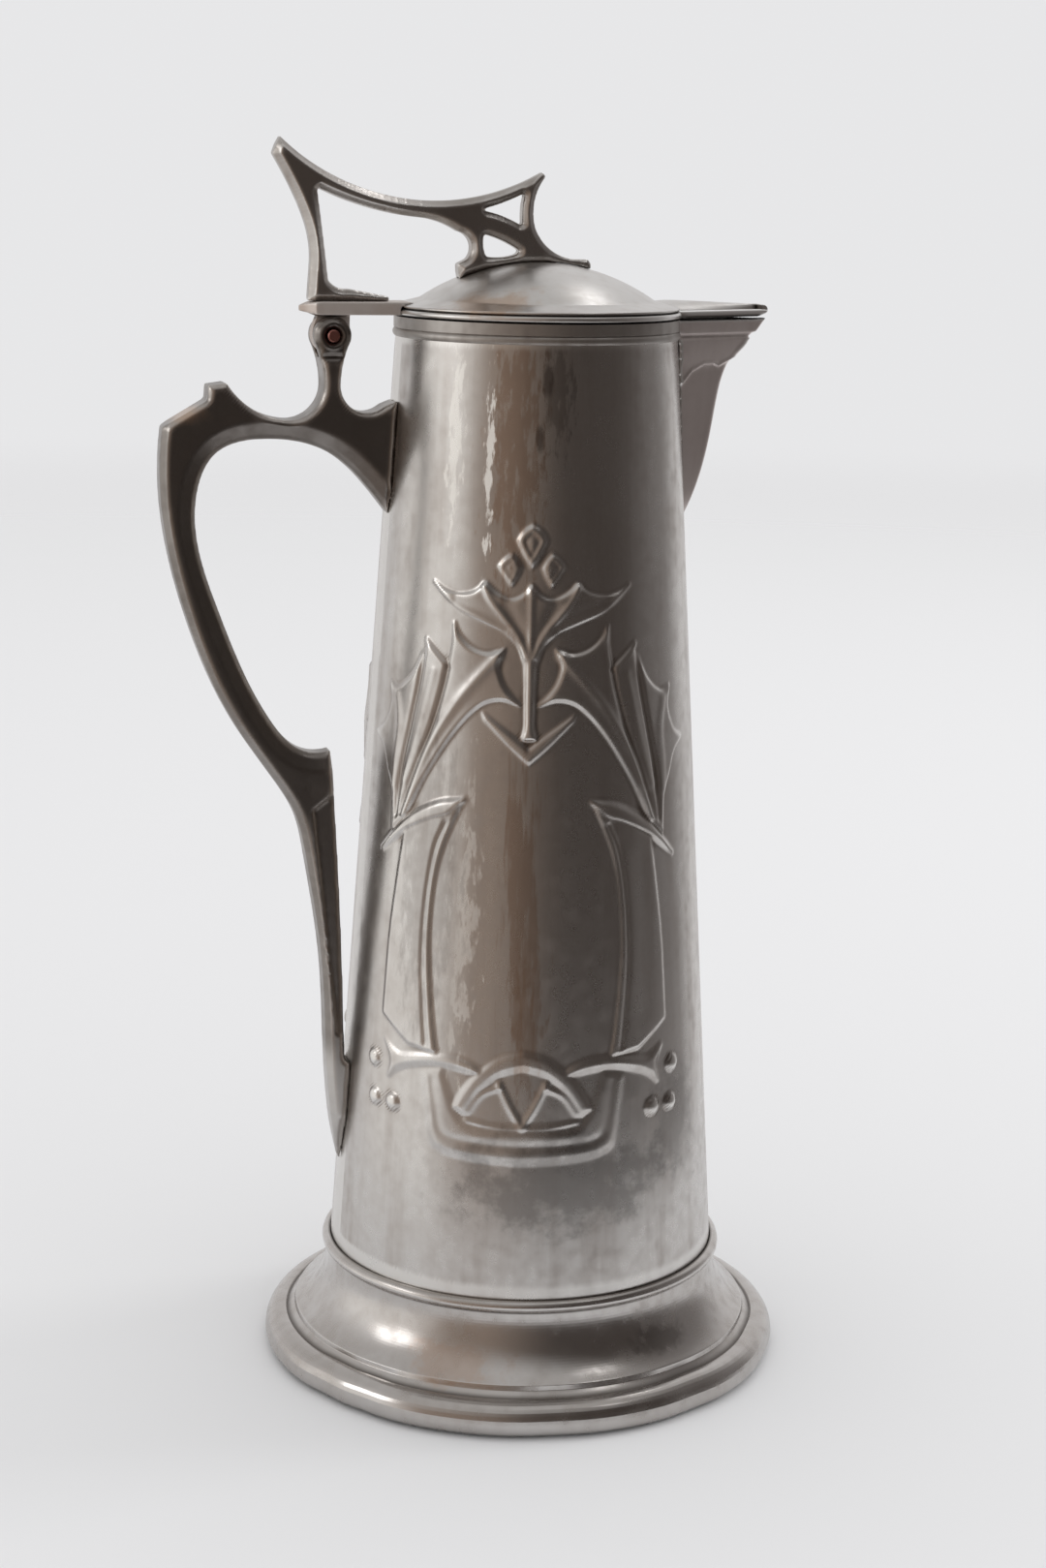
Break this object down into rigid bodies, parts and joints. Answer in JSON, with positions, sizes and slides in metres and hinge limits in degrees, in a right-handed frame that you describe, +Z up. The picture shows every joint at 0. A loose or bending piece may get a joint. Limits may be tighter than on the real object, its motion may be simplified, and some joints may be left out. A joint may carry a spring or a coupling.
{
  "type": "hinged-lid pitcher",
  "caption": "Tall tapered pewter pitcher with a spreading foot, beaked spout, flat cast handle and a domed hinged lid raised by an openwork thumb lever.",
  "frame": {"origin": "the barrel's axis at the face that the foot stands on", "axes": "+Z up along the barrel's axis, +X towards the spout, -X towards the handle"},
  "size_m": [0.1925, 0.1608, 0.3699],
  "materials": {
    "barrel_pewter": "aged pewter, dull satin with patina",
    "foot_pewter": "aged pewter, worn brighter",
    "handle_pewter": "cast pewter, dark patina",
    "lid_pewter": "aged pewter, smooth",
    "pin_copper": "tarnished copper alloy"
  },
  "bodies": {
    "jug": {"foot": "foot_pewter", "bottom_plate": "barrel_pewter", "barrel": "barrel_pewter", "mouth_band": "barrel_pewter", "spout": "barrel_pewter", "handle": "handle_pewter", "hinge_pin": "pin_copper"},
    "lid": {"lid": "lid_pewter", "hinge_strap": "lid_pewter", "thumb_lever": "handle_pewter"}
  },
  "joints": [
    {"name": "lid_hinge", "type": "hinge", "parent": "jug", "child": "lid", "pos_m": [-0.062, 0, 0.314], "axis": [0, -1, 0], "range_deg": [0, 92]}
  ]
}
